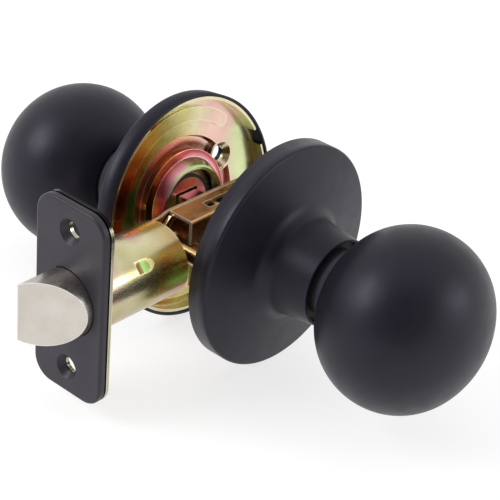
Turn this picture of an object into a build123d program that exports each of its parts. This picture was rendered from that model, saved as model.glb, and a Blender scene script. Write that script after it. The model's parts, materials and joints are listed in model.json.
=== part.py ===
"""Passage door knob set: two ball knobs on round roses, a square spindle and a tubular spring latch.

Frame, in millimetres: the origin is where the spindle's axis (Y) crosses the latch's axis (X).
+Z is up, the latch bolt leaves towards -X, the exterior half is at -Y and the interior half at +Y.
Both halves are built by the same functions from "reach", the distance outward along the spindle
from the plane where that half's rose meets the door.
"""
from build123d import *
from dataclasses import dataclass
from math import acos, asin, cos, radians, sin
import os

# ---- driving dimensions -------------------------------------------------------------------------
SHEET = 0.8                  # pressed steel of roses, liners and latch case
RUNNING = 0.05               # radial clearance of a shaft in its bearing

EXTERIOR_RIM_Y = -16.8       # door-side plane of the exterior rose
INTERIOR_RIM_Y = 13.2        # door-side plane of the interior rose on the spindle's axis, as stored
INTERIOR_ROLL = 30.0         # stored turn of the interior half, screw holes above the horizontal
INTERIOR_DROOP = 8.0         # stored tilt of the interior half, its knob hanging below the axis

ROSE_RADIUS = 32.8
ROSE_RIM = 5.8               # height of the rose's side wall
ROSE_FACE_TOP = 9.2          # reach where the face's cone meets the collar's cone
ROSE_NECK_RADIUS = 14.6      # radius there
ROSE_FILLET = 5.0            # sweep from face into collar
ROSE_EDGE = 0.9              # rounding between side wall and face
ROSE_INNER_EDGE = 0.3
COLLAR_REACH = 23.5
COLLAR_RADIUS = 12.8

LINER_RADIUS = 31.9
LINER_RIM = 0.4
LINER_FLOOR = 4.1
LINER_GROOVE_RADIUS = 20.0
LINER_GROOVE = 5.6
SPRING_ROOM_RADIUS = 13.9
SPRING_ROOM_FLOOR = 8.0
BEARING_TUBE_REACH = 20.5
BEAD_RADIUS = 26.5
BEAD_WIDTH = 4.0
BEAD_HEIGHT = 1.2
BEAD_CENTRE = -80.0          # direction of one bead's middle, degrees in the liner's own face plane
BEAD_SPAN = 116.0
NOTCH_WIDTH = 6.0
NOTCH_DEPTH = 3.4
NOTCH_START = 7.0

SCREW_OFFSET = 19.05         # tie screws stand 38.1 mm (1-1/2 in) apart
SCREW_HOLE_RADIUS = 2.5
SCREW_BOSS_RADIUS = 4.6
SCREW_DISH_RADIUS = 3.9
ROSE_SCREW_HOLE_RADIUS = 2.9

COVER_RADIUS = 16.0
COVER_EDGE = 3.4
COVER_RIDGE = (13.8, 2.8)
COVER_LIP = (12.2, 0.0)
COVER_HOLE_RADIUS = 10.9
COVER_LIP_DEPTH = 1.6
COVER_LIP_ROUND = 0.4
RETURN_SPRING_WIRE = 0.5     # radius of the wire
RETURN_SPRING_RADIUS = 12.95
RETURN_SPRING_PITCH = 1.1
RETURN_SPRING_TURNS = 2.75

SHANK_RADIUS = 9.5
SHANK_BORE_RADIUS = 8.0
SHANK_START = 2.2
SHANK_NECK = ((9.5, 22.0), (10.4, 24.4), (11.7, 27.0))
SHANK_END = 32.1
SHANK_GROOVE_DEPTH = 0.6
STAKED_FLANGE = 1.3          # how far the shank is spread inside the ball's lip
STAKED_FLANGE_GAP = 0.1      # from the lip's end to the spread metal
BUSHING_WALL = 1.0
BUSHING_START = 7.7
WASHER_REACH = (6.9, 7.6)
CLIP_REACH = (5.9, 6.6)
DRIVER_REACH = (3.0, 4.0)
BUSHING_FLANGE_RADIUS = 11.9
BUSHING_FLANGE = 1.0
BUSHING_FLANGE_GAP = 0.1     # from the bearing tube's end to the flange
WASHER_RADIUS = 12.0
CLIP_RADIUS = 11.2
CLIP_GAP = 5.0
DRIVER_RADIUS = 10.6
DRIVER_EARS = 24.0           # tip to tip
DRIVER_EAR_WIDTH = 4.0

BALL_RADIUS = 25.4           # 2 in across
BALL_HALF_LENGTH = 22.4
BALL_REACH = 46.9            # centre of the ball
BALL_WALL = 1.0
BALL_OPENING_RADIUS = 11.8
BALL_LIP_END = 31.0
BALL_LIP_BEND = 0.7          # rounding of the lip where it turns into the neck
BALL_BAND = 21.0             # the outline's radius round the ball's widest part
# the flatter caps at neck and pole, tangent to the band
BALL_CAP = (((BALL_RADIUS - BALL_BAND) ** 2 + BALL_HALF_LENGTH ** 2 - BALL_BAND ** 2)
            / (2 * (BALL_HALF_LENGTH - BALL_BAND)))

SPINDLE_SIZE = 7.94          # 5/16 in square
SPINDLE_WALL = 1.3
SPINDLE_START_Y = -36.0
SPINDLE_END_Y = 34.0
SPINDLE_CORNER = 0.9
SQUARE_HOLE = 8.1            # square sockets of the hub and the exterior core
CORE_REACH = (8.0, 20.0)
LOOSE_SQUARE_HOLE = 8.7      # short socket of the interior core, in which the spindle can tilt
LOOSE_CORE_REACH = (2.4, 4.9)
SLEEVE_REACH = (6.0, 9.0)    # loose sleeve round the spindle inside the interior shank
SLEEVE_RADIUS = 6.9
SLEEVE_BORE_RADIUS = 5.4

POST_RADIUS = 2.9
POST_THREAD_RADIUS = 1.75    # 8-32 thread's core
POST_END_Y = 3.0
POST_THREAD_DEPTH = 16.0
POST_CHAMFER = 0.4
POST_RIVET_HEAD = 0.45

BACKSET = 60.3               # 2-3/8 in, from spindle axis to the faceplate's front
FACE_WIDTH = 25.4
FACE_HEIGHT = 57.15
FACE_CORNER = 6.35
FACE_THICKNESS = 1.9
FACE_EDGE = 0.8              # roll of the plate's front edge
FACE_BOLT_GAP = 0.25
BACKPLATE_THICKNESS = 1.0
BACKPLATE_GAP = 0.6
FACE_SCREW_SPACING = 41.3
FACE_SCREW_RADIUS = 2.2
FACE_COUNTERSINK_RADIUS = 3.75
BACKPLATE_HOLE_RADIUS = 2.7
TUBE_RADIUS = 10.63
TUBE_WALL = 0.78
TUBE_END_X = -26.6
DENT_X = (-43.7, -37.6)      # lanced key of the tube, deep end first
DENT_ANGLE = 140.0           # above +Y, towards the exterior side
DENT_DEPTH = 0.55
DENT_HALF_WIDTH = 1.9
GUIDE_THICKNESS = 1.0
GUIDE_HOLE_RADIUS = 6.3

BOLT_RADIUS = 9.5
BOLT_FLAT_Y = 4.5            # the D section's flat side
BOLT_PROJECTION = 13.3
BOLT_BEVEL_SLOPE = 0.82      # mm of length per mm of width
BOLT_COLLAR_START_X = -57.9
BOLT_BACK_X = -50.0
BOLT_TRAVEL = 12.5
BOLT_RIM = 1.1               # wall round the spring's seat in the bolt's back
BOLT_SEAT_DEPTH = 1.5
ROD_RADIUS = 1.9
ROD_DEPTH = 9.0              # how far the rod enters the bolt
ROD_HEAD_RADIUS = 3.4
ROD_HEAD = 1.0
BOLT_SPRING_WIRE = 0.5       # radius of the wire
BOLT_SPRING_RADIUS = 7.6
BOLT_SPRING_TURNS = 7
YOKE_WEB_X = -37.4
YOKE_WEB = 1.2
YOKE_WIDTH = 6.0
YOKE_SHEET = 0.9
YOKE_STRIP_Z = (4.2, 5.2)    # strips inside the tube
YOKE_STRIP_END_X = -24.5
YOKE_BEND_X = (-21.6, -19.4)
YOKE_RAIL_Z = (7.9, 9.3)     # rails inside the case
YOKE_RAIL_Y = 2.6
YOKE_LUG_X = -4.8            # far side of the lugs, which the fingers push from the near side
YOKE_LUG = 1.0
YOKE_LUG_LOW_Z = 8.4

CASE_HALF_WIDTH = 4.67
CASE_HALF_HEIGHT = 10.4
CASE_FRONT_X = -19.9
CASE_REAR_X = 24.5
CASE_SLOT_Y = (-1.83, 1.02)
CASE_SLOT_X = (-9.85, 14.0)
CASE_BEND = 0.7              # outer radius of the channel's folds
CASE_TAIL_START_X = -24.0    # where the rear plate has narrowed towards the tube
CASE_TAIL_HALF_HEIGHT = 9.3
POST_HOLE_GAP = 0.4
RIVET_RADIUS = 1.15
RIVET_HEAD_RADIUS = 2.0
RIVET_HEAD = 0.6
RIVET_INSET = 2.5            # from the case's rear edge
RIVET_Z = 7.5
HUB_JOURNAL_RADIUS = 7.0
HUB_BARREL_RADIUS = 7.5
HUB_HALF_LENGTH = 5.3
HUB_SIDE_GAP = 0.2           # between the barrel and each side plate
FINGER_RADIUS = 11.4
FINGER_THICKNESS = 1.8
FINGER_Y = (-1.5, 0.7)
FINGER_REST_ANGLE = 134.0    # above +X; turning the knob carries it towards +X

os.makedirs("parts", exist_ok=True)


@dataclass
class Half:
    """One half of the set: its rose's door-side plane, the way it faces, its stored turn and droop,
    and its core. Pieces are made on the spindle's axis and put in their stored place by place()."""
    name: str
    rim_y: float
    side: int
    roll: float
    droop: float
    core_reach: tuple
    socket: float

    def across(self):
        """Direction from the spindle towards a tie screw."""
        return (cos(radians(self.roll)), 0, sin(radians(self.roll)))

    def profile(self):
        """Plane for turned profiles: local x is the radius, local y is the reach."""
        x, _, z = self.across()
        return Plane(origin=(0, self.rim_y, 0), x_dir=(x, 0, z), z_dir=(-z * self.side, 0, x * self.side))

    def face(self, reach=0.0):
        """Plane square to the spindle at a reach, facing outward, local x towards a tie screw."""
        return Plane(origin=(0, self.y(reach), 0), x_dir=self.across(), z_dir=(0, self.side, 0))

    def y(self, reach):
        return self.rim_y + self.side * reach

    def place(self):
        """The half hangs on the spindle at the middle of its core's socket."""
        pivot = self.y(sum(self.core_reach) / 2)
        return Location((0, pivot, 0), (-self.side * self.droop, 0, 0)) * Location((0, -pivot, 0))


EXTERIOR = Half("exterior", EXTERIOR_RIM_Y, -1, 0.0, 0.0, CORE_REACH, SQUARE_HOLE)
INTERIOR = Half("interior", INTERIOR_RIM_Y, 1, INTERIOR_ROLL, INTERIOR_DROOP, LOOSE_CORE_REACH, LOOSE_SQUARE_HOLE)


def save(piece, name, place=Location()):
    placed = piece.part.moved(place)
    placed.label = name
    export_step(placed, f"parts/{name}.step")


def polar(radius, angle):
    return (radius * cos(radians(angle)), radius * sin(radians(angle)))


def turned(half, outline):
    """A solid of revolution about the spindle's axis from a closed (radius, reach) outline."""
    with BuildPart() as piece:
        with BuildSketch(half.profile()):
            with BuildLine():
                Polyline(*outline, close=True)
            make_face()
        revolve(axis=Axis.Y)
    return piece


def ring(half, inner, outer, start, end):
    return turned(half, [(inner, start), (outer, start), (outer, end), (inner, end)])


# ---- the two halves -----------------------------------------------------------------------------
def make_rose(half):
    """Drawn cover plate: side wall, shallow cone, and a flared collar round the knob's neck."""
    with BuildPart() as rose:
        for inset, rim_fillet, neck_fillet in ((0.0, ROSE_EDGE, ROSE_FILLET),
                                                 (SHEET, ROSE_INNER_EDGE, ROSE_FILLET + SHEET)):
            rim = ROSE_RADIUS - inset
            collar = COLLAR_RADIUS - inset
            with BuildSketch(half.profile()):
                with BuildLine():
                    FilletPolyline((rim, 0), (rim, ROSE_RIM - inset),
                                   (ROSE_NECK_RADIUS - inset, ROSE_FACE_TOP - inset),
                                   (collar, COLLAR_REACH), radius=[rim_fillet, neck_fillet])
                    Polyline((collar, COLLAR_REACH), (0, COLLAR_REACH), (0, 0), (rim, 0))
                make_face()
            revolve(axis=Axis.Y, mode=Mode.SUBTRACT if inset else Mode.ADD)
        if half.side > 0:
            with BuildSketch(half.face(LINER_FLOOR)):
                with Locations((SCREW_OFFSET, 0), (-SCREW_OFFSET, 0)):
                    Circle(ROSE_SCREW_HOLE_RADIUS)
            extrude(amount=ROSE_FACE_TOP, mode=Mode.SUBTRACT)
    return rose


def make_liner(half):
    """Pressed chassis plate: rim wall, floor, groove, spring room and bearing tube in one sheet."""
    wall = LINER_RADIUS - SHEET
    bearing = SHANK_RADIUS + BUSHING_WALL + 2 * RUNNING
    room = SPRING_ROOM_RADIUS
    outline = [
        (wall, LINER_RIM), (LINER_RADIUS, LINER_RIM), (LINER_RADIUS, LINER_FLOOR + SHEET),
        (LINER_GROOVE_RADIUS + SHEET, LINER_FLOOR + SHEET), (LINER_GROOVE_RADIUS, LINER_GROOVE + SHEET),
        (room + SHEET, LINER_GROOVE + SHEET), (room + SHEET, SPRING_ROOM_FLOOR + SHEET),
        (bearing + SHEET, SPRING_ROOM_FLOOR + SHEET), (bearing + SHEET, BEARING_TUBE_REACH),
        (bearing, BEARING_TUBE_REACH), (bearing, SPRING_ROOM_FLOOR), (room, SPRING_ROOM_FLOOR),
        (room, LINER_GROOVE), (LINER_GROOVE_RADIUS - SHEET, LINER_GROOVE),
        (LINER_GROOVE_RADIUS, LINER_FLOOR), (wall, LINER_FLOOR)]
    screw_spots = ((SCREW_OFFSET, 0), (-SCREW_OFFSET, 0))
    with BuildPart() as liner:
        with BuildSketch(half.profile()):
            with BuildLine():
                Polyline(*outline, close=True)
            make_face()
        revolve(axis=Axis.Y)
        with BuildSketch(half.face(LINER_FLOOR)):
            with Locations(*screw_spots):
                Circle(SCREW_BOSS_RADIUS)
            Circle(COVER_RADIUS + RUNNING, mode=Mode.SUBTRACT)
        extrude(amount=LINER_GROOVE + SHEET - LINER_FLOOR)
        for centre in (BEAD_CENTRE, BEAD_CENTRE + 180):
            spine = CenterArc((0, 0), BEAD_RADIUS, centre - BEAD_SPAN / 2, BEAD_SPAN, mode=Mode.PRIVATE)
            with BuildSketch(half.face(LINER_FLOOR - BEAD_HEIGHT)):
                SlotArc(spine, BEAD_WIDTH)
            extrude(amount=BEAD_HEIGHT)
            with BuildSketch(half.face(LINER_FLOOR - BEAD_HEIGHT + SHEET)):
                SlotArc(spine, BEAD_WIDTH - 2 * SHEET)
            extrude(amount=BEAD_HEIGHT, mode=Mode.SUBTRACT)
        with BuildSketch(half.face(LINER_FLOOR - SHEET)):
            with Locations(*screw_spots):
                Circle(SCREW_HOLE_RADIUS)
        extrude(amount=LINER_GROOVE, mode=Mode.SUBTRACT)
        if half.side > 0:
            with BuildSketch(half.face(LINER_FLOOR)):
                with Locations(*screw_spots):
                    Circle(SCREW_DISH_RADIUS)
            extrude(amount=SCREW_DISH_RADIUS - SCREW_HOLE_RADIUS, taper=45, mode=Mode.SUBTRACT)
        for quarter in range(4):
            with BuildSketch(half.face()):
                with Locations(polar(LINER_RADIUS, NOTCH_START + 90 * quarter)):
                    Circle(NOTCH_WIDTH / 2)
            extrude(amount=NOTCH_DEPTH, mode=Mode.SUBTRACT)
    return liner


def make_spring_cover(half):
    """Domed ring over the return spring, its inner lip turned back outward."""
    ridge, ridge_reach = COVER_RIDGE
    lip, lip_reach = COVER_LIP
    hole = COVER_HOLE_RADIUS
    return turned(half, [
        (COVER_RADIUS - SHEET, LINER_GROOVE), (COVER_RADIUS, LINER_GROOVE), (COVER_RADIUS, COVER_EDGE),
        (ridge, ridge_reach), (lip, lip_reach), (hole + SHEET, lip_reach - COVER_LIP_ROUND), (hole, lip_reach),
        (hole, COVER_LIP_DEPTH), (hole + SHEET, COVER_LIP_DEPTH), (hole + SHEET, lip_reach + SHEET),
        (lip, lip_reach + SHEET), (ridge, ridge_reach + SHEET), (COVER_RADIUS - SHEET, COVER_EDGE + SHEET)])


def make_return_spring(half):
    """Torsion spring of round wire that turns the knob back to rest."""
    height = RETURN_SPRING_PITCH * RETURN_SPRING_TURNS
    start = SPRING_ROOM_FLOOR - RETURN_SPRING_WIRE - 2 * RUNNING - height
    with BuildPart() as spring:
        with BuildLine():
            coil = Helix(pitch=RETURN_SPRING_PITCH, height=height, radius=RETURN_SPRING_RADIUS,
                         center=(0, half.y(start), 0), direction=(0, half.side, 0))
        with BuildSketch(Plane(origin=coil @ 0, z_dir=coil % 0)):
            Circle(RETURN_SPRING_WIRE)
        sweep(path=coil, is_frenet=True)
    return spring


def make_bushing(half):
    """Plain nylon bearing sleeve with a flange at its outer end."""
    bore = SHANK_RADIUS + RUNNING
    outer = bore + BUSHING_WALL
    flange = BEARING_TUBE_REACH + BUSHING_FLANGE_GAP
    return turned(half, [
        (bore, BUSHING_START), (outer, BUSHING_START), (outer, flange), (BUSHING_FLANGE_RADIUS, flange),
        (BUSHING_FLANGE_RADIUS, flange + BUSHING_FLANGE), (bore, flange + BUSHING_FLANGE)])


def make_knob_shank(half):
    """Tubular shank: turned down at its end for the spring driver, grooved for the clip, and
    flared beyond the rose's collar into the neck that is staked inside the ball."""
    waist = SHANK_RADIUS - SHANK_GROOVE_DEPTH
    neck = SHANK_NECK[-1][0]
    staked = BALL_LIP_END + STAKED_FLANGE_GAP
    return turned(half, [
        (SHANK_BORE_RADIUS, SHANK_START), (waist, SHANK_START), (waist, DRIVER_REACH[1]),
        (SHANK_RADIUS, DRIVER_REACH[1]), (SHANK_RADIUS, CLIP_REACH[0] - RUNNING),
        (waist, CLIP_REACH[0] - RUNNING), (waist, CLIP_REACH[1] + RUNNING),
        (SHANK_RADIUS, CLIP_REACH[1] + RUNNING), *SHANK_NECK,
        (neck, staked), (neck + STAKED_FLANGE, staked), (neck + STAKED_FLANGE, SHANK_END),
        (SHANK_BORE_RADIUS, SHANK_END)])


def make_thrust_washer(half):
    """Nylon washer between the clip and the bearing."""
    return ring(half, SHANK_RADIUS + 2 * RUNNING, WASHER_RADIUS, *WASHER_REACH)


def make_retaining_clip(half):
    """Split spring ring in the shank's groove, which keeps the knob in its bearing."""
    with BuildPart() as clip:
        with BuildSketch(half.face(CLIP_REACH[0])):
            Circle(CLIP_RADIUS)
            Circle(SHANK_RADIUS - SHANK_GROOVE_DEPTH + RUNNING, mode=Mode.SUBTRACT)
            with Locations((0, CLIP_RADIUS)):
                Rectangle(CLIP_GAP, CLIP_RADIUS, mode=Mode.SUBTRACT)
        extrude(amount=CLIP_REACH[1] - CLIP_REACH[0])
    return clip


def make_spring_driver(half):
    """Keyed washer on the shank's end whose two ears push the return spring's legs."""
    with BuildPart() as driver:
        with BuildSketch(half.face(DRIVER_REACH[0])):
            Circle(DRIVER_RADIUS)
            Rectangle(DRIVER_EARS, DRIVER_EAR_WIDTH)
            Circle(SHANK_RADIUS - SHANK_GROOVE_DEPTH + RUNNING, mode=Mode.SUBTRACT)
        extrude(amount=DRIVER_REACH[1] - DRIVER_REACH[0] - RUNNING)
    return driver


def make_knob_core(half):
    """Die-cast plug inside the shank, with the square socket that the spindle drives."""
    start, end = half.core_reach
    with BuildPart() as core:
        with BuildSketch(half.face(start)):
            Circle(SHANK_BORE_RADIUS - RUNNING)
            with Locations(Location((0, 0), half.roll)):
                Rectangle(half.socket, half.socket, mode=Mode.SUBTRACT)
        extrude(amount=end - start)
    return core


def ball_points(mouth_radius, inset):
    """(radius, reach) ends and middles of the three tangent arcs from the ball's mouth to its pole."""
    cap = BALL_CAP - inset
    mouth = asin(mouth_radius / cap)
    meeting = asin((BALL_RADIUS - BALL_BAND) / (BALL_CAP - BALL_BAND))
    points = []
    for way, angle in ((-1, mouth), (-1, (mouth + meeting) / 2), (-1, meeting)):
        points.append((cap * sin(angle), BALL_REACH + way * (cap * cos(angle) + BALL_HALF_LENGTH - BALL_CAP)))
    points.append((BALL_RADIUS - inset, BALL_REACH))
    for angle in (meeting, meeting / 2, 0.0):
        points.append((cap * sin(angle), BALL_REACH + cap * cos(angle) + BALL_HALF_LENGTH - BALL_CAP))
    return points


def make_knob_shell(half):
    """Hollow ball, a little shorter than it is wide, with a rolled lip round the neck."""
    lip_radius = BALL_OPENING_RADIUS + BALL_WALL
    outer = ball_points(lip_radius - BALL_LIP_BEND, 0.0)
    inner = ball_points(lip_radius, BALL_WALL)
    with BuildPart() as shell:
        with BuildSketch(half.profile()):
            with BuildLine():
                for points in (outer, inner):
                    for first in (0, 2, 4):
                        ThreePointArc(points[first], points[first + 1], points[first + 2])
                Line(outer[-1], inner[-1])
                Polyline(inner[0], (lip_radius, BALL_LIP_END), (BALL_OPENING_RADIUS, BALL_LIP_END),
                         (BALL_OPENING_RADIUS, outer[0][1] + BALL_LIP_BEND), outer[0])
            make_face()
        revolve(axis=Axis.Y)
    return shell


def make_spindle():
    """Square spindle folded from sheet, open along its underside; staked in the exterior knob."""
    with BuildPart() as spindle:
        with BuildSketch(Plane(origin=(0, SPINDLE_START_Y, 0), x_dir=(1, 0, 0), z_dir=(0, 1, 0))):
            RectangleRounded(SPINDLE_SIZE, SPINDLE_SIZE, SPINDLE_CORNER)
            inside = SPINDLE_SIZE - 2 * SPINDLE_WALL
            with Locations((0, SPINDLE_WALL)):
                Rectangle(inside, SPINDLE_SIZE, mode=Mode.SUBTRACT)
        extrude(amount=SPINDLE_END_Y - SPINDLE_START_Y)
    return spindle


def make_threaded_posts(half):
    """Two tapped posts riveted to the exterior liner, which the tie screws draw up."""
    post_start = half.y(LINER_FLOOR)
    rivet_reach = LINER_GROOVE + SHEET + POST_RIVET_HEAD
    towards_door = Plane(origin=(0, post_start, 0), x_dir=(1, 0, 0), z_dir=(0, 1, 0))
    spots = ((SCREW_OFFSET, 0), (-SCREW_OFFSET, 0))
    with BuildPart() as posts:
        with BuildSketch(towards_door):
            with Locations(*spots):
                Circle(POST_RADIUS)
        extrude(amount=POST_END_Y - post_start)
        chamfer(posts.faces().sort_by(Axis.Y)[-2:].edges(), POST_CHAMFER)
        with BuildSketch(half.face(LINER_FLOOR)):
            with Locations(*spots):
                Circle(SCREW_HOLE_RADIUS - RUNNING)
        extrude(amount=rivet_reach - LINER_FLOOR)
        with BuildSketch(half.face(LINER_GROOVE + SHEET)):
            with Locations(*spots):
                Circle(POST_RADIUS)
        extrude(amount=POST_RIVET_HEAD)
        with BuildSketch(towards_door.offset(POST_END_Y - post_start)):
            with Locations(*spots):
                Circle(POST_THREAD_RADIUS)
        extrude(amount=-POST_THREAD_DEPTH, mode=Mode.SUBTRACT)
    return posts


# ---- the latch ----------------------------------------------------------------------------------
def across_latch(x):
    """Plane square to the latch's axis at x, facing +X: local x is Y, local y is Z."""
    return Plane(origin=(x, 0, 0), x_dir=(0, 1, 0), z_dir=(1, 0, 0))


def along_latch(y):
    """Plane of the latch's side at y, facing +Y: local x is -X, local y is Z."""
    return Plane(origin=(0, y, 0), x_dir=(-1, 0, 0), z_dir=(0, 1, 0))


def d_section(radius, flat):
    """Round section cut flat on the +Y side."""
    Circle(radius)
    with Locations((flat + radius, 0)):
        Rectangle(2 * radius, 2 * radius, mode=Mode.SUBTRACT)


def make_faceplate():
    """Painted front plate with rolled edges, a D opening for the bolt and two countersunk holes."""
    back = -BACKSET + FACE_THICKNESS
    with BuildPart() as plate:
        with BuildSketch(across_latch(-BACKSET)):
            RectangleRounded(FACE_WIDTH, FACE_HEIGHT, FACE_CORNER)
        extrude(amount=FACE_THICKNESS)
        fillet(plate.faces().sort_by(Axis.X)[0].edges(), FACE_EDGE)
        with BuildSketch(across_latch(-BACKSET)):
            d_section(BOLT_RADIUS + FACE_BOLT_GAP, BOLT_FLAT_Y + FACE_BOLT_GAP)
            with Locations((0, FACE_SCREW_SPACING / 2), (0, -FACE_SCREW_SPACING / 2)):
                Circle(FACE_SCREW_RADIUS)
        extrude(amount=FACE_THICKNESS, mode=Mode.SUBTRACT)
        with BuildSketch(across_latch(-BACKSET)):
            with Locations((0, FACE_SCREW_SPACING / 2), (0, -FACE_SCREW_SPACING / 2)):
                Circle(FACE_COUNTERSINK_RADIUS)
        extrude(amount=FACE_COUNTERSINK_RADIUS - FACE_SCREW_RADIUS, taper=45, mode=Mode.SUBTRACT)
    return plate


def make_backplate():
    """Zinc plated plate behind the faceplate, holding the tube's end."""
    with BuildPart() as plate:
        with BuildSketch(across_latch(-BACKSET + FACE_THICKNESS + BACKPLATE_GAP)):
            RectangleRounded(FACE_WIDTH, FACE_HEIGHT, FACE_CORNER)
            Circle(TUBE_RADIUS + RUNNING, mode=Mode.SUBTRACT)
            with Locations((0, FACE_SCREW_SPACING / 2), (0, -FACE_SCREW_SPACING / 2)):
                Circle(BACKPLATE_HOLE_RADIUS, mode=Mode.SUBTRACT)
        extrude(amount=BACKPLATE_THICKNESS)
    return plate


def make_latch_tube():
    """Tube round the bolt, with one lanced dent that keys it in its hole."""
    start = -BACKSET + FACE_THICKNESS
    dent_start, dent_end = DENT_X
    dent_side = Plane(origin=(0, 0, 0), x_dir=(1, 0, 0),
                      z_dir=(0, -sin(radians(DENT_ANGLE)), cos(radians(DENT_ANGLE))))
    with BuildPart() as tube:
        with BuildSketch(across_latch(start)):
            Circle(TUBE_RADIUS)
            Circle(TUBE_RADIUS - TUBE_WALL, mode=Mode.SUBTRACT)
        extrude(amount=TUBE_END_X - start)
        with BuildSketch(dent_side):
            with BuildLine():
                Polyline((dent_start, TUBE_RADIUS - DENT_DEPTH), (dent_start, TUBE_RADIUS + 1),
                         (dent_end, TUBE_RADIUS + 1), (dent_end, TUBE_RADIUS), close=True)
            make_face()
        extrude(amount=DENT_HALF_WIDTH, both=True, mode=Mode.SUBTRACT)
    return tube


def make_tube_guide():
    """Ring in the tube's inner end: seat of the bolt spring and guide of the yoke."""
    with BuildPart() as guide:
        with BuildSketch(across_latch(TUBE_END_X - GUIDE_THICKNESS)):
            Circle(TUBE_RADIUS - TUBE_WALL - RUNNING)
            Circle(GUIDE_HOLE_RADIUS, mode=Mode.SUBTRACT)
        extrude(amount=GUIDE_THICKNESS)
    return guide


def make_bolt():
    """D-section spring bolt, bevelled towards the exterior side, on a round collar."""
    tip = -BACKSET - BOLT_PROJECTION
    bevel_end_y = -BOLT_RADIUS - 1
    bevel_end_x = tip + BOLT_BEVEL_SLOPE * (BOLT_FLAT_Y - bevel_end_y)
    with BuildPart() as bolt:
        with BuildSketch(across_latch(tip)):
            d_section(BOLT_RADIUS, BOLT_FLAT_Y)
        extrude(amount=BOLT_COLLAR_START_X - tip)
        with BuildSketch(Plane.XY.offset(-BOLT_RADIUS)):
            with BuildLine():
                Polyline((tip - 1, BOLT_FLAT_Y), (tip, BOLT_FLAT_Y), (bevel_end_x, bevel_end_y),
                         (tip - 1, bevel_end_y), close=True)
            make_face()
        extrude(amount=2 * BOLT_RADIUS, mode=Mode.SUBTRACT)
        with BuildSketch(across_latch(BOLT_COLLAR_START_X)):
            Circle(BOLT_RADIUS)
        extrude(amount=BOLT_BACK_X - BOLT_COLLAR_START_X)
        with BuildSketch(across_latch(BOLT_BACK_X)):
            Circle(BOLT_RADIUS - BOLT_RIM)
        extrude(amount=-BOLT_SEAT_DEPTH, mode=Mode.SUBTRACT)
        with BuildSketch(across_latch(BOLT_BACK_X)):
            Circle(ROD_RADIUS + RUNNING)
        extrude(amount=-ROD_DEPTH, mode=Mode.SUBTRACT)
    return bolt


def make_bolt_rod():
    """Headed pin that ties the bolt to the yoke."""
    head_start = YOKE_WEB_X + YOKE_WEB
    with BuildPart() as rod:
        with BuildSketch(across_latch(BOLT_BACK_X - ROD_DEPTH)):
            Circle(ROD_RADIUS)
        extrude(amount=head_start - BOLT_BACK_X + ROD_DEPTH)
        with BuildSketch(across_latch(head_start)):
            Circle(ROD_HEAD_RADIUS)
        extrude(amount=ROD_HEAD)
    return rod


def make_bolt_spring():
    """Compression spring between the bolt's collar and the tube's inner end."""
    start = BOLT_BACK_X - BOLT_SEAT_DEPTH + BOLT_SPRING_WIRE + RUNNING
    length = TUBE_END_X - GUIDE_THICKNESS - BOLT_SPRING_WIRE - RUNNING - start
    with BuildPart() as spring:
        with BuildLine():
            coil = Helix(pitch=length / BOLT_SPRING_TURNS, height=length, radius=BOLT_SPRING_RADIUS,
                         center=(start, 0, 0), direction=(1, 0, 0))
        with BuildSketch(Plane(origin=coil @ 0, z_dir=coil % 0)):
            Circle(BOLT_SPRING_WIRE)
        sweep(path=coil, is_frenet=True)
    return spring


def make_yoke():
    """Forked retractor: a web on the rod, two strips through the tube's end, and two rails that
    pass above and below the hub and carry the lugs its fingers push."""
    strip_low, strip_high = YOKE_STRIP_Z
    rail_low, rail_high = YOKE_RAIL_Z
    bend_start, bend_end = YOKE_BEND_X
    web_end = YOKE_WEB_X + YOKE_WEB
    with BuildPart() as yoke:
        with BuildSketch(across_latch(YOKE_WEB_X)):
            Rectangle(YOKE_WIDTH, 2 * strip_high)
            Circle(ROD_RADIUS + RUNNING, mode=Mode.SUBTRACT)
        extrude(amount=YOKE_WEB)
        with BuildSketch(across_latch(web_end)):
            for side in (1, -1):
                with Locations((0, side * (strip_low + strip_high) / 2)):
                    Rectangle(YOKE_WIDTH, strip_high - strip_low)
        extrude(amount=YOKE_STRIP_END_X - web_end)
        for side in (1, -1):
            with BuildSketch(along_latch(YOKE_RAIL_Y)):
                with BuildLine():
                    Polyline((-YOKE_STRIP_END_X, side * strip_low), (-bend_start, side * strip_low),
                             (-bend_end, side * rail_low), (-YOKE_LUG_X, side * rail_low),
                             (-YOKE_LUG_X, side * rail_high), (-bend_end + YOKE_WEB, side * rail_high),
                             (-YOKE_STRIP_END_X, side * strip_high), close=True)
                make_face()
            extrude(amount=YOKE_SHEET)
            with BuildSketch(along_latch(FINGER_Y[0])):
                with Locations((-YOKE_LUG_X + YOKE_LUG / 2, side * (YOKE_LUG_LOW_Z + rail_high) / 2)):
                    Rectangle(YOKE_LUG, rail_high - YOKE_LUG_LOW_Z)
            extrude(amount=YOKE_RAIL_Y - FINGER_Y[0])
    return yoke


def make_latch_hub():
    """Turning hub with a square socket and two fingers, one for each way the knob turns."""
    with BuildPart() as hub:
        with BuildSketch(along_latch(-HUB_HALF_LENGTH)):
            Circle(HUB_JOURNAL_RADIUS)
        extrude(amount=2 * HUB_HALF_LENGTH)
        between_plates = CASE_HALF_WIDTH - SHEET - HUB_SIDE_GAP
        with BuildSketch(along_latch(-between_plates)):
            Circle(HUB_BARREL_RADIUS)
        extrude(amount=2 * between_plates)
        with BuildSketch(along_latch(FINGER_Y[0])):
            for angle in (FINGER_REST_ANGLE, -FINGER_REST_ANGLE):
                with Locations(Location((0, 0), 180 - angle)):
                    with Locations((FINGER_RADIUS / 2, 0)):
                        Rectangle(FINGER_RADIUS, FINGER_THICKNESS)
        extrude(amount=FINGER_Y[1] - FINGER_Y[0])
        with BuildSketch(along_latch(-HUB_HALF_LENGTH)):
            Rectangle(SQUARE_HOLE, SQUARE_HOLE)
        extrude(amount=2 * HUB_HALF_LENGTH, mode=Mode.SUBTRACT)
    return hub


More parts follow.
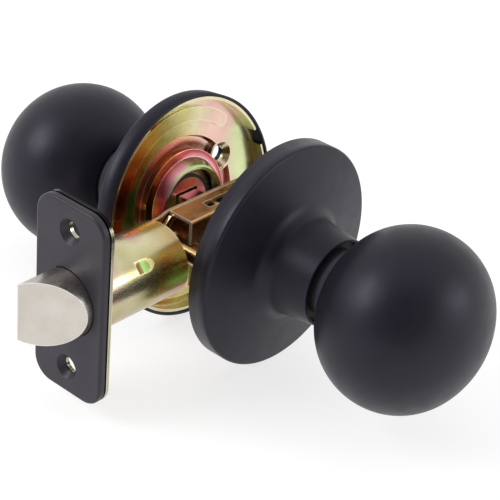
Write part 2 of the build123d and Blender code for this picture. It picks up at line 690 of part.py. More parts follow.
def make_case_front():
    """Folded channel on the exterior side, slotted above and below for the hub's fingers."""
    length = CASE_REAR_X - CASE_FRONT_X
    middle = (CASE_REAR_X + CASE_FRONT_X) / 2
    inside = CASE_HALF_WIDTH - SHEET
    slot_length = CASE_SLOT_X[1] - CASE_SLOT_X[0]
    slot_middle = (CASE_SLOT_X[1] + CASE_SLOT_X[0]) / 2
    with BuildPart() as case:
        with BuildSketch(across_latch(CASE_FRONT_X)):
            with Locations((-RUNNING / 2 - SHEET / 2, 0)):
                Rectangle(2 * inside + SHEET - RUNNING, 2 * CASE_HALF_HEIGHT)
            with Locations((CASE_HALF_WIDTH - inside, 0)):
                Rectangle(2 * CASE_HALF_WIDTH, 2 * (CASE_HALF_HEIGHT - SHEET), mode=Mode.SUBTRACT)
        extrude(amount=length)
        fillet(case.edges().filter_by(Axis.X).group_by(Axis.Y)[0], CASE_BEND)
        with BuildSketch(Plane.XY.offset(-CASE_HALF_HEIGHT)):
            with Locations((slot_middle, (CASE_SLOT_Y[0] + CASE_SLOT_Y[1]) / 2)):
                Rectangle(slot_length, CASE_SLOT_Y[1] - CASE_SLOT_Y[0])
        extrude(amount=2 * CASE_HALF_HEIGHT, mode=Mode.SUBTRACT)
        with BuildSketch(along_latch(-CASE_HALF_WIDTH)):
            Circle(HUB_JOURNAL_RADIUS + RUNNING)
            with Locations((SCREW_OFFSET, 0), (-SCREW_OFFSET, 0)):
                Circle(POST_RADIUS + POST_HOLE_GAP)
            with Locations((-CASE_FRONT_X, 0)):
                Rectangle(2 * (-CASE_FRONT_X - SCREW_OFFSET), 2 * (POST_RADIUS + POST_HOLE_GAP))
            for height in (1, -1):
                with Locations((-CASE_REAR_X + RIVET_INSET, height * RIVET_Z)):
                    Circle(RIVET_RADIUS + RUNNING)
        extrude(amount=SHEET, mode=Mode.SUBTRACT)
    return case


def make_case_rear():
    """Flat side plate of the case on the interior side, running forward to the tube's end."""
    height = CASE_HALF_HEIGHT
    tail = CASE_TAIL_HALF_HEIGHT
    with BuildPart() as plate:
        with BuildSketch(along_latch(CASE_HALF_WIDTH - SHEET)):
            with BuildLine():
                Polyline((-CASE_REAR_X, -height), (-CASE_FRONT_X, -height), (-CASE_TAIL_START_X, -tail),
                         (-TUBE_END_X, -tail), (-TUBE_END_X, tail), (-CASE_TAIL_START_X, tail),
                         (-CASE_FRONT_X, height), (-CASE_REAR_X, height), close=True)
            make_face()
            Circle(HUB_JOURNAL_RADIUS + RUNNING, mode=Mode.SUBTRACT)
            with Locations((SCREW_OFFSET, 0), (-SCREW_OFFSET, 0)):
                Circle(POST_RADIUS + POST_HOLE_GAP, mode=Mode.SUBTRACT)
            for side in (1, -1):
                with Locations((-CASE_REAR_X + RIVET_INSET, side * RIVET_Z)):
                    Circle(RIVET_RADIUS + RUNNING, mode=Mode.SUBTRACT)
        extrude(amount=SHEET)
    return plate


def make_case_rivets():
    """Two rivets through the case's side plates behind the hub."""
    spots = ((-CASE_REAR_X + RIVET_INSET, RIVET_Z), (-CASE_REAR_X + RIVET_INSET, -RIVET_Z))
    with BuildPart() as rivets:
        with BuildSketch(along_latch(-CASE_HALF_WIDTH)):
            with Locations(*spots):
                Circle(RIVET_RADIUS)
        extrude(amount=2 * CASE_HALF_WIDTH)
        for y, thickness in ((CASE_HALF_WIDTH, RIVET_HEAD), (-CASE_HALF_WIDTH, -RIVET_HEAD)):
            with BuildSketch(along_latch(y)):
                with Locations(*spots):
                    Circle(RIVET_HEAD_RADIUS)
            extrude(amount=thickness)
    return rivets


# ---- build --------------------------------------------------------------------------------------
MAKERS = {"rose": make_rose, "liner": make_liner, "spring_cover": make_spring_cover,
          "return_spring": make_return_spring, "bushing": make_bushing, "thrust_washer": make_thrust_washer,
          "retaining_clip": make_retaining_clip, "spring_driver": make_spring_driver,
          "knob_shank": make_knob_shank, "knob_core": make_knob_core, "knob_shell": make_knob_shell}
for half in (EXTERIOR, INTERIOR):
    for piece_name, make in MAKERS.items():
        save(make(half), f"{half.name}_{piece_name}", half.place())
save(ring(INTERIOR, SLEEVE_BORE_RADIUS, SLEEVE_RADIUS, *SLEEVE_REACH), "interior_spindle_sleeve")
save(make_threaded_posts(EXTERIOR), "threaded_posts")
save(make_spindle(), "spindle")
save(make_faceplate(), "faceplate")
save(make_backplate(), "backplate")
save(make_latch_tube(), "latch_tube")
save(make_tube_guide(), "tube_guide")
save(make_bolt(), "latch_bolt")
save(make_bolt_rod(), "bolt_rod")
save(make_bolt_spring(), "bolt_spring")
save(make_yoke(), "retractor_yoke")
save(make_latch_hub(), "latch_hub")
save(make_case_front(), "case_front")
save(make_case_rear(), "case_rear")
save(make_case_rivets(), "case_rivets")
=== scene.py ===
"""Looks of the passage door knob set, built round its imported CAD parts.

Everything is in metres in the CAD frame: the spindle's axis is Y, the latch leaves towards -X, +Z is up.
Round pieces whose CAD meshes would show facets are turned again here as smooth lathes of the same size.
"""
import json
from dataclasses import dataclass
from math import asin, cos, pi, radians, sin, tan

import bmesh
import bpy
from mathutils import Matrix, Vector


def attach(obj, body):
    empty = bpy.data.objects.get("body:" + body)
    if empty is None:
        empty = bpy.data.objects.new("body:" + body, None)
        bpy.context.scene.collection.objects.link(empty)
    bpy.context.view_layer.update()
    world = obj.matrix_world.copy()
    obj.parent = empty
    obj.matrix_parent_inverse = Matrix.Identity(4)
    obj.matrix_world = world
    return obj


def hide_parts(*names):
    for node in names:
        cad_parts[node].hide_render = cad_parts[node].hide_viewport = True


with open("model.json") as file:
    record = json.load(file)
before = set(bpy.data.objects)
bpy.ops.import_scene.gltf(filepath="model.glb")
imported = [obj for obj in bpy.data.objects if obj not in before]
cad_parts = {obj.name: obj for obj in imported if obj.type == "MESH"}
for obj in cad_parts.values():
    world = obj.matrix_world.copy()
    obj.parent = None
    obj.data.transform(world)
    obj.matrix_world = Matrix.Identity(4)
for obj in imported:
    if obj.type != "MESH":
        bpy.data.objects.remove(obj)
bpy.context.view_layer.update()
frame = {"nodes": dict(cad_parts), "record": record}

NODES = frame["nodes"]
MM = 0.001

# ---- sizes of the turned pieces, in millimetres ---------------------------------------------------
SHEET = 0.8
ROSE_RADIUS = 32.8
ROSE_RIM = 5.8
ROSE_RIM_FILLET = 0.9
ROSE_FACE_TOP = 9.2
ROSE_NECK_RADIUS = 14.6
ROSE_NECK_FILLET = 5.0
COLLAR_RADIUS = 12.8
COLLAR_REACH = 23.5
COLLAR_FILLET = 0.35
BALL_RADIUS = 25.4
BALL_HALF_LENGTH = 22.4
BALL_REACH = 46.9
BALL_BAND = 21.0
BALL_OPENING_RADIUS = 11.8
BALL_LIP_ROLL = 0.6
BALL_LIP_END = 31.0
SCREW_OFFSET = 19.05
SCREW_HOLE_RADIUS = 2.9
SOCKET_REACH = 3.65
DRILL_DEPTH = 20.0
FLOOR_DEPTH = 33.5

TURN_SEGMENTS = 192
DRILL_SEGMENTS = 64
FILLET_STEPS = 12
BEVEL_ANGLE = radians(30)

# ---- where the plating changes: shares of the rose's radius, then places in metres ----------------
RINGS_LEAN = 0.12
RINGS_END = (0.62, 0.68)
RIM_START = (0.92, 0.96)
DARKENED_REACH = (15 * MM, 17 * MM)
DARKENED_HEIGHT = (24 * MM, 26 * MM)
TUBE_DENT = (-41.5 * MM, -7.9 * MM, 6.6 * MM)
TUBE_INNER_END = (-36 * MM, -28 * MM)
TUBE_UNDERSIDE_SHADE = (3 * MM, -7 * MM)
DENT_HALF_LENGTH = 2 * MM
DENT_POOL = (1.6 * MM, 2.4 * MM)
DENT_WANDER = 0.5 * MM

# ---- camera and studio ----------------------------------------------------------------------------
CAMERA_PLACE = Vector((-0.3022, -0.2588, 0.2297))
CAMERA_RIGHT = Vector((0.6703, -0.7379, 0.0789))
CAMERA_AHEAD = Vector((0.6624, 0.5470, -0.5119))
CAMERA_LENS = 117.2
CAMERA_SENSOR = 36.0
SURROUND_BEHIND_CAMERA = 0.15
SURROUND_BEYOND = 0.9
SURROUND_RISE = (-0.97, -0.5)
FLOOR_GREY = 0.36
FLOOR_GLOW = 0.74


@dataclass
class Half:
    """One half of the set: its rose's door-side plane, the way it faces along Y, and how it hangs."""
    name: str
    rim_y: float
    side: int
    droop: float
    roll: float

    def socket(self):
        """The point of the spindle's axis that the half hangs on."""
        return (0, (self.rim_y + self.side * SOCKET_REACH) * MM, 0)

    def place(self):
        """The half is turned about its own axis and hangs on the spindle at its socket."""
        pivot = Matrix.Translation(self.socket())
        droop = Matrix.Rotation(radians(-self.side * self.droop), 4, "X")
        turn = Matrix.Rotation(radians(-self.roll), 4, "Y")
        return pivot @ droop @ pivot.inverted() @ turn


EXTERIOR = Half("exterior", -16.8, -1, 0.0, 0.0)
INTERIOR = Half("interior", 13.2, 1, 8.0, 30.0)


# ---- mesh helpers ---------------------------------------------------------------------------------
def rounded(corners):
    """A polyline with its corners rounded: each corner is (radius, reach, fillet radius)."""
    points = []
    for index, (x, y, fillet) in enumerate(corners):
        corner = Vector((x, y))
        if fillet == 0 or index in (0, len(corners) - 1):
            points.append(corner)
            continue
        before = (Vector(corners[index - 1][:2]) - corner).normalized()
        after = (Vector(corners[index + 1][:2]) - corner).normalized()
        half_angle = before.angle(after) / 2
        tangent = fillet / tan(half_angle)
        centre = corner + (before + after).normalized() * fillet / sin(half_angle)
        start = corner + before * tangent - centre
        end = corner + after * tangent - centre
        sweep = start.angle_signed(end)
        for step in range(FILLET_STEPS + 1):
            turn = Matrix.Rotation(-sweep * step / FILLET_STEPS, 2)
            points.append(centre + turn @ start)
    return points


def lathe(name, half, outline, closed=False):
    """Turns a (radius, reach) outline about the spindle's axis and returns the smooth object."""
    mesh = bmesh.new()
    rings = []
    for radius, reach in outline:
        y = half.rim_y + half.side * reach
        if radius < 1e-6:
            rings.append([mesh.verts.new((0, y * MM, 0))])
            continue
        angles = [2 * pi * k / TURN_SEGMENTS for k in range(TURN_SEGMENTS)]
        rings.append([mesh.verts.new((radius * cos(angle) * MM, y * MM, radius * sin(angle) * MM))
                      for angle in angles])
    pairs = list(zip(rings, rings[1:]))
    if closed:
        pairs.append((rings[-1], rings[0]))
    for first, second in pairs:
        for k in range(TURN_SEGMENTS):
            following = (k + 1) % TURN_SEGMENTS
            face = [first[k % len(first)], second[k % len(second)]]
            if len(second) > 1:
                face.append(second[following])
            if len(first) > 1:
                face.append(first[following])
            mesh.faces.new(face)
    bmesh.ops.recalc_face_normals(mesh, faces=mesh.faces)
    data = bpy.data.meshes.new(name)
    mesh.to_mesh(data)
    mesh.free()
    data.shade_smooth()
    piece = bpy.data.objects.new(name, data)
    bpy.context.scene.collection.objects.link(piece)
    return piece


def stand_in(piece, half, node, material):
    """Puts a piece in its half's place and shows it instead of a CAD node, on the same body."""
    piece.data.transform(half.place())
    piece.data.materials.append(material)
    for body, members in frame["record"]["behaviour"]["bodies"].items():
        if node in members:
            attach(piece, body)
    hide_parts(node)


# ---- material helpers -----------------------------------------------------------------------------
def colour(red, green, blue):
    """A colour given on the 0 to 255 screen scale, as the linear values that a shader takes."""
    linear = []
    for value in (red, green, blue):
        share = value / 255
        linear.append(share / 12.92 if share <= 0.04045 else ((share + 0.055) / 1.055) ** 2.4)
    return (*linear, 1.0)


class Material:
    """A principled material with short ways to add and join procedural nodes."""

    def __init__(self, name):
        self.material = bpy.data.materials.new(name)
        self.material.use_nodes = True
        self.nodes = self.material.node_tree.nodes
        self.links = self.material.node_tree.links
        self.shader = self.nodes["Principled BSDF"]

    def add(self, kind, settings=None, **inputs):
        node = self.nodes.new(kind)
        for key, value in (settings or {}).items():
            setattr(node, key, value)
        for key, value in inputs.items():
            self.join(value, node.inputs[key.replace("_", " ")])
        return node

    def join(self, value, socket):
        if isinstance(value, bpy.types.NodeSocket):
            self.links.new(value, socket)
        else:
            socket.default_value = value

    def set(self, **inputs):
        for key, value in inputs.items():
            self.join(value, self.shader.inputs[key.replace("_", " ")])

    def position(self):
        return self.add("ShaderNodeTexCoord").outputs["Object"]

    def noise(self, scale, detail=4.0, stretch=None):
        """Noise on the object's own coordinates; stretch lengthens it along chosen axes."""
        where = self.position()
        if stretch:
            where = self.add("ShaderNodeMapping", Vector=where, Scale=stretch).outputs["Vector"]
        noise = self.add("ShaderNodeTexNoise", Vector=where, Scale=scale, Detail=detail)
        return noise.outputs["Fac"]

    def calculate(self, operation, first, second=0.0, third=0.0):
        node = self.nodes.new("ShaderNodeMath")
        node.operation = operation
        for value, socket in zip((first, second, third), node.inputs):
            self.join(value, socket)
        return node.outputs[0]

    def between(self, value, start, end, low=0.0, high=1.0):
        """Maps start..end to low..high and holds the ends."""
        node = self.add("ShaderNodeMapRange", Value=value)
        node.inputs["From Min"].default_value = start
        node.inputs["From Max"].default_value = end
        node.inputs["To Min"].default_value = low
        node.inputs["To Max"].default_value = high
        return node.outputs["Result"]

    def spread(self, value, low, high):
        """Maps 0..1 noise, which mostly lies between 0.3 and 0.7, to low..high."""
        return self.between(value, 0.3, 0.7, low, high)

    def ramp(self, value, *stops):
        """A colour ramp from (position, colour) stops."""
        node = self.nodes.new("ShaderNodeValToRGB")
        self.join(value, node.inputs["Fac"])
        elements = node.color_ramp.elements
        while len(elements) < len(stops):
            elements.new(0.5)
        for element, (place, tint) in zip(elements, stops):
            element.position = place
            element.color = tint
        return node.outputs["Color"]

    def mix(self, share, first, second):
        node = self.nodes.new("ShaderNodeMix")
        node.data_type = "RGBA"
        self.join(share, node.inputs[0])
        self.join(first, node.inputs[6])
        self.join(second, node.inputs[7])
        return node.outputs[2]

    def bump(self, height, strength, distance):
        node = self.add("ShaderNodeBump", Height=height, Strength=strength, Distance=distance)
        self.set(Normal=node.outputs["Normal"])

    def apart(self, operation, first, second):
        """Dot product or distance of two vectors."""
        node = self.nodes.new("ShaderNodeVectorMath")
        node.operation = operation
        self.join(first, node.inputs[0])
        self.join(second, node.inputs[1])
        return node.outputs["Value"]

    def edges(self, width):
        """1 on edges and corners, 0 elsewhere: where a rounded normal leaves the true one."""
        rounded_normal = self.add("ShaderNodeBevel", {"samples": 4}, Radius=width * MM).outputs["Normal"]
        true_normal = self.add("ShaderNodeNewGeometry").outputs["Normal"]
        return self.between(self.apart("DOT_PRODUCT", rounded_normal, true_normal), 0.998, 0.93)


# ---- materials ------------------------------------------------------------------------------------
def black_paint(name, dark, light):
    """Satin black with a faint violet cast, fine orange peel and slightly thinned edges."""
    paint = Material(name)
    body = paint.mix(paint.spread(paint.noise(60.0, 3.0), 0.0, 1.0), dark, light)
    worn = paint.calculate("MULTIPLY", paint.edges(0.3), paint.spread(paint.noise(300.0), 0.1, 0.5))
    paint.set(Base_Color=paint.mix(worn, body, colour(76, 74, 82)))
    paint.set(Roughness=paint.spread(paint.noise(220.0, 5.0), 0.37, 0.45))
    paint.set(Specular_IOR_Level=0.34, Specular_Tint=(0.86, 0.82, 1.0, 1.0))
    paint.bump(paint.noise(1500.0, 2.0), 0.12, 0.00008)
    return paint.material


def plating_colours():
    """Interference colours of yellow zinc plating."""
    return {"straw": colour(226, 220, 180), "khaki": colour(205, 196, 132), "gold": colour(206, 162, 84),
            "orange": colour(192, 112, 52), "red": colour(184, 70, 76), "pink": colour(236, 164, 176),
            "mint": colour(196, 224, 150), "green": colour(132, 200, 108), "brown": colour(122, 88, 46),
            "copper": colour(230, 170, 130), "blush": colour(238, 192, 186), "pale": colour(214, 224, 172)}


def finish_plating(plating, tint, roughness, draw=None, rub=0.45, wear=0.0, darkened_share=0.0):
    """Shared surface of all plated pieces: fine draw marks, dull spots and a painted highlight along the
    edges.

    The width of the highlighted edges is given in millimetres, together with how far they lose their metal
    shine.
    A given share of the surface is turned near black."""
    marks = plating.noise(600.0, 5.0, draw)
    dulled = plating.mix(plating.spread(plating.noise(110.0, 4.0), 0.0, 0.22), tint, TINTS["brown"])
    # Painted highlight: every edge is mixed towards a bright cream, standing in for the light that rolled
    # edges catch.
    rubbed = plating.calculate("MULTIPLY", plating.edges(rub), 0.9)
    with_edge_highlight = plating.mix(rubbed, dulled, colour(244, 236, 204))
    plating.set(Base_Color=plating.mix(darkened_share, with_edge_highlight, colour(24, 23, 26)))
    plating.set(Metallic=plating.between(rubbed, 0.0, 1.0, 1.0, 1.0 - wear))
    plating.set(Roughness=plating.spread(marks, *roughness))
    plating.bump(marks, 0.12, 0.00005)
    return plating.material


def turned_plating(name, half, bands):
    """Plating on a pressed round piece: rings of colour in the middle, a slow sweep across its floor."""
    plating = Material(name)
    upright = plating.add("ShaderNodeVectorRotate", {"rotation_type": "X_AXIS"}, Vector=plating.position(),
                          Center=half.socket(), Angle=radians(half.side * half.droop))
    place = plating.add("ShaderNodeSeparateXYZ", Vector=upright.outputs["Vector"])
    across, up = (plating.calculate("DIVIDE", place.outputs[axis], ROSE_RADIUS * MM) for axis in ("X", "Z"))
    squares = [plating.calculate("POWER", share, 2.0) for share in (across, up)]
    radius = plating.calculate("SQRT", plating.calculate("ADD", *squares))
    lean = plating.calculate("MULTIPLY", plating.calculate("ADD", across, up), -RINGS_LEAN)
    wander = plating.calculate("ADD", lean, plating.spread(plating.noise(50.0, 2.0), -0.03, 0.03))
    rings = plating.ramp(plating.calculate("ADD", radius, wander), *bands)
    slope = plating.calculate("ADD", across, plating.calculate("MULTIPLY", up, 0.3))
    sweep = plating.calculate("ADD", slope, plating.spread(plating.noise(42.0, 2.5), -0.35, 0.35))
    floor = plating.ramp(plating.calculate("MULTIPLY_ADD", sweep, 0.5, third=0.5), *FLOOR_SWEEP)
    outside = plating.between(plating.calculate("SUBTRACT", radius, lean), *RINGS_END)
    tint = plating.mix(outside, rings, floor)
    tint = plating.mix(plating.between(radius, *RIM_START), tint, TINTS["straw"])
    # From a reach of 15 mm to 17 mm onwards the piece is darkened near black, as the liner's tube end seen
    # inside the collar.
    reach = plating.calculate("MULTIPLY", plating.calculate("SUBTRACT", place.outputs["Y"], half.rim_y * MM),
                              float(half.side))
    darkened = plating.between(reach, *DARKENED_REACH)
    return finish_plating(plating, tint, (0.18, 0.27), darkened_share=darkened)


def sheet_plating(name, scale, *stops, dent=None, darkened_from=None, roughness=(0.17, 0.27), **surface):
    """Plating on the latch: colours drift slowly along the sheet.

    Where a dent is given, the inner end turns darker and more orange, the underside gets painted shade and
    green pools round the dent.
    Towards the top the sheet is darkened near black over given heights, except on the face turned inward."""
    plating = Material(name)
    tint = plating.ramp(plating.noise(scale, 2.0), *stops)
    place = plating.add("ShaderNodeSeparateXYZ", Vector=plating.position())
    if darkened_from:
        above = plating.between(place.outputs["Z"], *darkened_from)
        normal = plating.add("ShaderNodeNewGeometry").outputs["Normal"]
        inward = plating.apart("DOT_PRODUCT", normal, (1, 0, 0))
        surface["darkened_share"] = plating.calculate("MULTIPLY", above, plating.between(inward, 0.9, 0.7))
    if dent:
        # Towards its inner end the tube turns darker and more orange.
        towards_inner_end = plating.between(place.outputs["X"], *TUBE_INNER_END, 0.0, 0.35)
        tint = plating.mix(towards_inner_end, tint, TINTS["orange"])
        # Painted shade: the tube darkens to brown towards its underside.
        low = plating.between(place.outputs["Z"], *TUBE_UNDERSIDE_SHADE, 0.0, 0.45)
        tint = plating.mix(low, tint, TINTS["brown"])
        away = plating.calculate("ADD", plating.apart("DISTANCE", plating.position(), dent),
                                 plating.spread(plating.noise(400.0), -DENT_WANDER, DENT_WANDER))
        along = plating.between(place.outputs["X"], dent[0] - DENT_HALF_LENGTH, dent[0] + DENT_HALF_LENGTH)
        shade = plating.ramp(along, (0.1, colour(60, 44, 28)), (0.35, TINTS["brown"]), (0.5, TINTS["green"]),
                             (0.9, colour(120, 150, 96)))
        tint = plating.mix(plating.between(away, *DENT_POOL, 0.9, 0.0), tint, shade)
    return finish_plating(plating, tint, roughness, **surface)


def satin_steel(name, light, dark, roughness, stretch):
    """Ground steel with fine lines along one axis and a painted highlight along its edges."""
    steel = Material(name)
    lines = steel.noise(500.0, 8.0, stretch)
    blotch = steel.spread(steel.noise(120.0, 4.0), 0.0, 0.5)
    # Painted highlight: the edges are mixed towards near white.
    steel.set(Base_Color=steel.mix(steel.edges(0.4), steel.mix(blotch, light, dark), colour(252, 248, 242)))
    steel.set(Metallic=1.0)
    steel.set(Roughness=steel.spread(lines, *roughness))
    steel.bump(lines, 0.3, 0.00005)
    return steel.material


def moulded_nylon(name, light, dark):
    """Nylon with soft cloudy shade and a fine moulded grain."""
    nylon = Material(name)
    cloud = nylon.spread(nylon.noise(150.0, 3.0), 0.0, 1.0)
    nylon.set(Base_Color=nylon.mix(cloud, light, dark))
    nylon.set(Roughness=nylon.spread(nylon.noise(500.0), 0.42, 0.55))
    nylon.set(Subsurface_Weight=0.15)
    nylon.set(Subsurface_Scale=0.001)
    nylon.bump(nylon.noise(1200.0), 0.15, 0.00005)
    return nylon.material


def cast_zinc(name):
    """Bare die-cast zinc with a coarse dull grain."""
    cast = Material(name)
    grain = cast.noise(650.0, 6.0)
    cast.set(Base_Color=cast.mix(cast.spread(grain, 0.0, 1.0), colour(176, 176, 178), colour(140, 139, 140)))
    cast.set(Metallic=1.0)
    cast.set(Roughness=cast.spread(cast.noise(200.0), 0.42, 0.58))
    cast.bump(grain, 0.4, 0.0001)
    return cast.material


TINTS = plating_colours()
PAINT = black_paint("black_paint", colour(22, 21, 29), colour(28, 27, 36))
# The neck's paint is a lighter copy of the black paint: painted highlight for the soft light the neck catches
# in the gap behind the collar.
NECK_PAINT_PAINTED_HIGHLIGHT = black_paint("black_paint_neck", colour(58, 56, 62), colour(66, 64, 70))
FACEPLATE_PAINT = black_paint("black_paint_faceplate", colour(48, 45, 49), colour(55, 52, 56))
LINER_BANDS = ((0.40, TINTS["pink"]), (0.47, TINTS["brown"]), (0.50, TINTS["pink"]), (0.57, TINTS["pink"]),
               (0.60, TINTS["mint"]), (0.63, TINTS["green"]), (0.67, TINTS["green"]))
FLOOR_SWEEP = ((0.08, TINTS["brown"]), (0.18, TINTS["orange"]), (0.32, TINTS["gold"]), (0.45, TINTS["khaki"]),
               (0.58, TINTS["khaki"]), (0.7, TINTS["straw"]), (0.82, TINTS["blush"]), (0.93, TINTS["pale"]))
COVER_BANDS = ((0.33, TINTS["mint"]), (0.36, TINTS["straw"]), (0.38, TINTS["pink"]), (0.41, TINTS["red"]),
               (0.43, TINTS["red"]), (0.46, TINTS["orange"]), (0.49, TINTS["brown"]))
LATCH_PLATING = sheet_plating(
    "yellow_zinc_latch", 36.0, (0.34, TINTS["khaki"]), (0.44, TINTS["straw"]), (0.52, TINTS["pink"]),
    (0.60, TINTS["straw"]), (0.68, TINTS["khaki"]), roughness=(0.2, 0.3), draw=(1.0, 10.0, 10.0),
    dent=TUBE_DENT)
# The backplate is darkened near black along its top edge.
BACKPLATE_PLATING = sheet_plating(
    "yellow_zinc_backplate", 30.0, (0.36, colour(176, 172, 152)), (0.64, colour(196, 192, 168)),
    darkened_from=DARKENED_HEIGHT)
# The case gets wider painted edge highlights that lose most of their metal shine.
CASE_PLATING = sheet_plating(
    "yellow_zinc_case", 30.0, (0.36, TINTS["copper"]), (0.48, TINTS["gold"]), (0.58, TINTS["copper"]),
    (0.68, TINTS["pink"]), rub=0.7, wear=0.65)
CORE_PLATING = sheet_plating(
    "yellow_zinc_core", 60.0, (0.36, TINTS["khaki"]), (0.48, TINTS["straw"]), (0.62, TINTS["pink"]))
BOLT_STEEL = satin_steel(
    "bolt_steel", colour(208, 202, 194), colour(178, 170, 161), (0.24, 0.38), (1.0, 1.0, 30.0))
SPRING_STEEL = satin_steel(
    "spring_steel", colour(176, 174, 172), colour(140, 138, 136), (0.2, 0.35), (6.0, 6.0, 6.0))
NYLON = moulded_nylon("nylon", colour(228, 224, 208), colour(214, 208, 188))
BLACK_NYLON = moulded_nylon("nylon_black", colour(26, 25, 27), colour(20, 19, 21))
CAST_ZINC = cast_zinc("diecast_zinc")


# ---- replacement pieces ---------------------------------------------------------------------------
def arc(centre_reach, radius, start, end, steps, centre_radius=0.0):
    """Points of a circular arc; angles are measured from the spindle's axis, in radians."""
    points = []
    for step in range(steps + 1):
        angle = start + (end - start) * step / steps
        points.append((centre_radius + radius * sin(angle), centre_reach + radius * cos(angle)))
    return points


def ball_outline():
    """Lip, neck-side cap, wide band and outer cap of the ball, from the opening to the pole."""
    cap = ((BALL_RADIUS - BALL_BAND) ** 2 + BALL_HALF_LENGTH ** 2 - BALL_BAND ** 2) / (
        2 * (BALL_HALF_LENGTH - BALL_BAND))
    meeting = asin((BALL_RADIUS - BALL_BAND) / (cap - BALL_BAND))
    mouth = asin((BALL_OPENING_RADIUS + BALL_LIP_ROLL) / cap)
    drop = cap - BALL_HALF_LENGTH
    neck_side = arc(BALL_REACH + drop, cap, pi - mouth, pi - meeting, 12)
    band = arc(BALL_REACH, BALL_BAND, pi - meeting, meeting, 48, BALL_RADIUS - BALL_BAND)
    outer_side = arc(BALL_REACH - drop, cap, meeting, 0.0, 24)
    lip_reach = neck_side[0][1] + BALL_LIP_ROLL
    lip = arc(lip_reach, BALL_LIP_ROLL, 1.5 * pi, pi, 4, BALL_OPENING_RADIUS + BALL_LIP_ROLL)
    return [(BALL_OPENING_RADIUS, BALL_LIP_END)] + lip[:-1] + neck_side + band[1:] + outer_side[1:]


def rose_outline():
    """Closed section of the rose's sheet, all corners rounded."""
    seam = (COLLAR_RADIUS - SHEET, COLLAR_REACH - SHEET, 0)
    outer = rounded([(ROSE_RADIUS, 0, 0),
                     (ROSE_RADIUS, ROSE_RIM, ROSE_RIM_FILLET),
                     (ROSE_NECK_RADIUS, ROSE_FACE_TOP, ROSE_NECK_FILLET),
                     (COLLAR_RADIUS, COLLAR_REACH, COLLAR_FILLET),
                     (COLLAR_RADIUS - SHEET, COLLAR_REACH, COLLAR_FILLET),
                     seam])
    inner = rounded([seam,
                     (ROSE_NECK_RADIUS - SHEET, ROSE_FACE_TOP - SHEET, ROSE_NECK_FILLET + SHEET),
                     (ROSE_RADIUS - SHEET, ROSE_RIM - SHEET, ROSE_RIM_FILLET / 2),
                     (ROSE_RADIUS - SHEET, 0, 0)])
    return outer + inner[1:]


def show_ball(half):
    """Shows a turned ball instead of the half's faceted knob shell."""
    ball = lathe(f"{half.name}_ball_smooth", half, ball_outline())
    stand_in(ball, half, f"{half.name}_knob_shell", PAINT)


def show_rose(half):
    """Shows a turned rose instead of the half's faceted one; only the interior one has screw holes."""
    rose = lathe(f"{half.name}_rose_smooth", half, rose_outline(), closed=True)
    if half is INTERIOR:
        drill(rose, half)
    stand_in(rose, half, f"{half.name}_rose", PAINT)


def drill(rose, half):
    """Cuts the two tie-screw holes of a rose."""
    for turn in (-1, 1):
        middle = (turn * SCREW_OFFSET * MM, (half.rim_y + half.side * ROSE_FACE_TOP) * MM, 0)
        bpy.ops.mesh.primitive_cylinder_add(vertices=DRILL_SEGMENTS, radius=SCREW_HOLE_RADIUS * MM,
                                            depth=DRILL_DEPTH * MM, location=middle, rotation=(pi / 2, 0, 0))
        cutter = bpy.context.object
        cutter.name = f"{rose.name}_drill_{turn}"
        cut = rose.modifiers.new("drill", "BOOLEAN")
        cut.object = cutter
        cut.solver = "EXACT"
        bpy.context.view_layer.objects.active = rose
        bpy.ops.object.modifier_apply(modifier="drill")
        bpy.data.objects.remove(cutter)


for half in (EXTERIOR, INTERIOR):
    show_ball(half)
    show_rose(half)


# ---- CAD pieces -----------------------------------------------------------------------------------
def dress(node, material, bevel=0.25):
    """Gives a CAD piece its material and rolls its edges over."""
    piece = NODES[node]
    piece.data.materials.clear()
    piece.data.materials.append(material)
    if bevel:
        round_off = piece.modifiers.new("rolled_edges", "BEVEL")
        round_off.width = bevel * MM
        round_off.segments = 3
        round_off.limit_method = "ANGLE"
        round_off.angle_limit = BEVEL_ANGLE
        round_off.harden_normals = True


for half in (EXTERIOR, INTERIOR):
    dress(f"{half.name}_liner", turned_plating(f"yellow_zinc_{half.name}_liner", half, LINER_BANDS), 0.3)
    dress(f"{half.name}_spring_cover", turned_plating(f"yellow_zinc_{half.name}_cover", half, COVER_BANDS))
    dress(f"{half.name}_knob_shank", NECK_PAINT_PAINTED_HIGHLIGHT, 0.0)
    dress(f"{half.name}_return_spring", SPRING_STEEL, 0.0)
    dress(f"{half.name}_bushing", BLACK_NYLON, 0.1)
    dress(f"{half.name}_thrust_washer", NYLON, 0.1)
    dress(f"{half.name}_retaining_clip", SPRING_STEEL, 0.1)
    dress(f"{half.name}_spring_driver", SPRING_STEEL, 0.1)
    dress(f"{half.name}_knob_core", CORE_PLATING, 0.1)
dress("interior_spindle_sleeve", NYLON, 0.1)
dress("threaded_posts", LATCH_PLATING, 0.1)
dress("spindle", CORE_PLATING, 0.1)
dress("faceplate", FACEPLATE_PAINT, 0.15)
dress("backplate", BACKPLATE_PLATING, 0.2)
dress("latch_tube", LATCH_PLATING, 0.1)
dress("tube_guide", NYLON, 0.1)
dress("latch_bolt", BOLT_STEEL, 0.3)
dress("bolt_rod", SPRING_STEEL, 0.1)
dress("bolt_spring", SPRING_STEEL, 0.0)
dress("retractor_yoke", CASE_PLATING, 0.15)
dress("latch_hub", CAST_ZINC, 0.15)
dress("case_front", CASE_PLATING, 0.3)
dress("case_rear", CASE_PLATING, 0.3)
dress("case_rivets", SPRING_STEEL, 0.15)


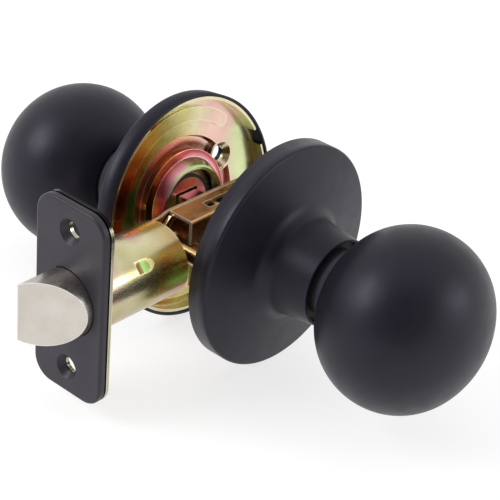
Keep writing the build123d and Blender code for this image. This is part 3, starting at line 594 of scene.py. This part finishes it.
# ---- floor, light and camera ----------------------------------------------------------------------
def make_floor():
    """Pale sweep under the set, lit almost to white."""
    bpy.ops.mesh.primitive_plane_add(size=6.0, location=(0, 0, -FLOOR_DEPTH * MM))
    floor = bpy.context.object
    floor.name = "studio_floor"
    pale = Material("pale_floor")
    pale.set(Base_Color=(FLOOR_GREY, FLOOR_GREY, FLOOR_GREY, 1), Roughness=0.9, Specular_IOR_Level=0.1)
    pale.set(Emission_Color=(1, 1, 1, 1), Emission_Strength=FLOOR_GLOW)
    floor.data.materials.append(pale.material)


def make_light(name, place, size, power):
    """A soft box that faces the set."""
    data = bpy.data.lights.new(name, "AREA")
    data.shape = "RECTANGLE"
    data.size, data.size_y = size
    data.energy = power
    light = bpy.data.objects.new(name, data)
    bpy.context.scene.collection.objects.link(light)
    light.location = place
    light.rotation_euler = (-Vector(place)).to_track_quat("-Z", "Y").to_euler()


def make_world():
    """Studio surround: pale all round, dim behind the camera."""
    world = bpy.data.worlds.new("studio")
    world.use_nodes = True
    nodes = world.node_tree.nodes
    links = world.node_tree.links
    direction = nodes.new("ShaderNodeTexCoord")
    along_view = nodes.new("ShaderNodeVectorMath")
    along_view.operation = "DOT_PRODUCT"
    links.new(direction.outputs["Generated"], along_view.inputs[0])
    along_view.inputs[1].default_value = CAMERA_AHEAD
    level = nodes.new("ShaderNodeMapRange")
    level.interpolation_type = "SMOOTHSTEP"
    links.new(along_view.outputs["Value"], level.inputs["Value"])
    level.inputs["From Min"].default_value = SURROUND_RISE[0]
    level.inputs["From Max"].default_value = SURROUND_RISE[1]
    level.inputs["To Min"].default_value = SURROUND_BEHIND_CAMERA
    level.inputs["To Max"].default_value = SURROUND_BEYOND
    nodes["Background"].inputs["Color"].default_value = (1, 1, 1, 1)
    links.new(level.outputs["Result"], nodes["Background"].inputs["Strength"])
    bpy.context.scene.world = world


def make_camera():
    """The photograph's viewpoint: a long lens that looks down on the set from the latch's side."""
    data = bpy.data.cameras.new("camera")
    data.lens = CAMERA_LENS
    data.sensor_width = CAMERA_SENSOR
    data.clip_start = 0.01
    camera = bpy.data.objects.new("camera", data)
    bpy.context.scene.collection.objects.link(camera)
    back = -CAMERA_AHEAD.normalized()
    up = back.cross(CAMERA_RIGHT).normalized()
    right = up.cross(back)
    camera.matrix_world = Matrix.Translation(CAMERA_PLACE) @ Matrix((right, up, back)).transposed().to_4x4()
    bpy.context.scene.camera = camera


make_floor()
make_world()
make_light("key_left", (-0.82, 0.62, 0.8), (0.6, 0.6), 7.0)
make_light("fill_right", (0.62, -1.05, 0.47), (0.5, 0.5), 2.8)
make_camera()
bpy.context.scene.view_settings.view_transform = "Standard"
